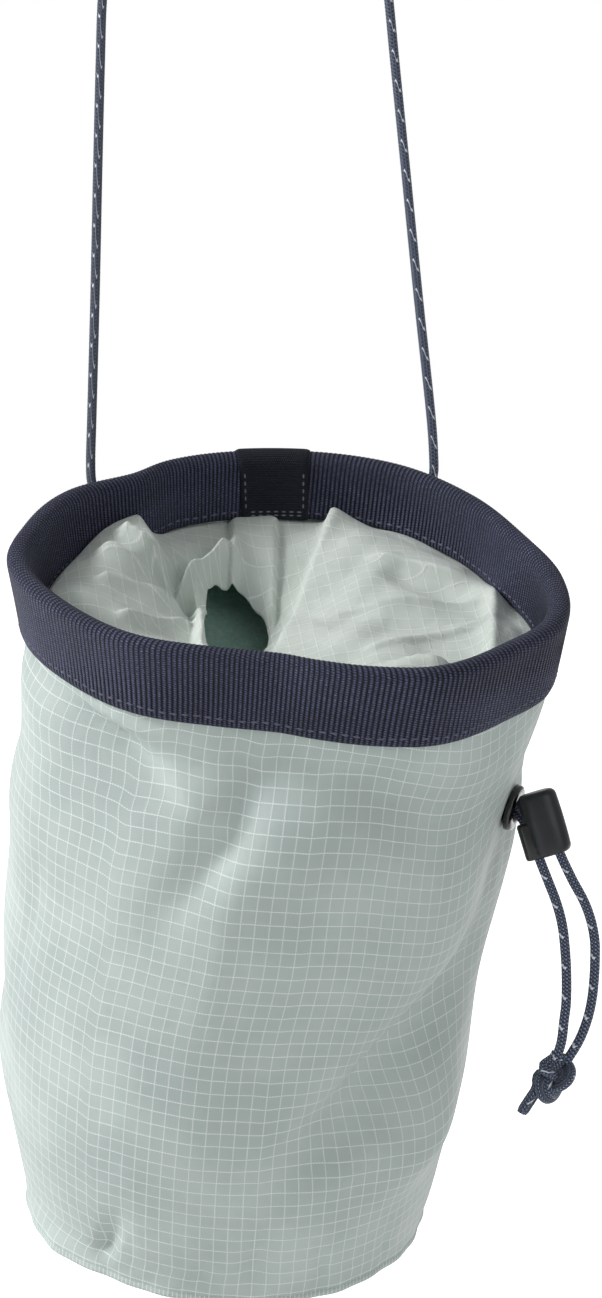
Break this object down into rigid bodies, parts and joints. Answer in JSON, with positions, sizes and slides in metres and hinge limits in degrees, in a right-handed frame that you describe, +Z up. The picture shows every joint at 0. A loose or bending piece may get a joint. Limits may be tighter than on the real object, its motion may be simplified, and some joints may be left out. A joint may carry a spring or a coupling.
{
  "type": "climbing chalk bag",
  "caption": "Soft round drawstring pouch with a webbing rim, fleece lining, gathered closure cuff, cord lock on a knotted drawcord, and a waist cord that it hangs from.",
  "frame": {"origin": "inner top of the waist cord's loop, where it hangs", "axes": "+Z up, -Y to the front where the tipped mouth opens, +X to the side with the cord lock"},
  "size_m": [0.1427, 0.1625, 0.3506],
  "materials": {
    "ripstop": "satin ripstop cloth",
    "webbing": "ribbed webbing",
    "fleece": "brushed pile",
    "plastic": "satin moulded",
    "cord": "braided"
  },
  "bodies": {
    "root": {"outer_shell": "ripstop", "base_piping": "ripstop", "base_panel": "ripstop", "fleece_lining": "fleece", "closure_cuff": "ripstop", "rim_band": "webbing", "rim_join_tape": "webbing", "belt_tunnel": "webbing", "drawcord_eyelet": "plastic", "cord_lock_body": "plastic", "cord_lock_plunger": "plastic", "drawcord_neck": "cord", "drawcord_tail_left": "cord", "drawcord_tail_right": "cord", "drawcord_knot": "cord", "waist_cord": "cord"}
  },
  "joints": []
}
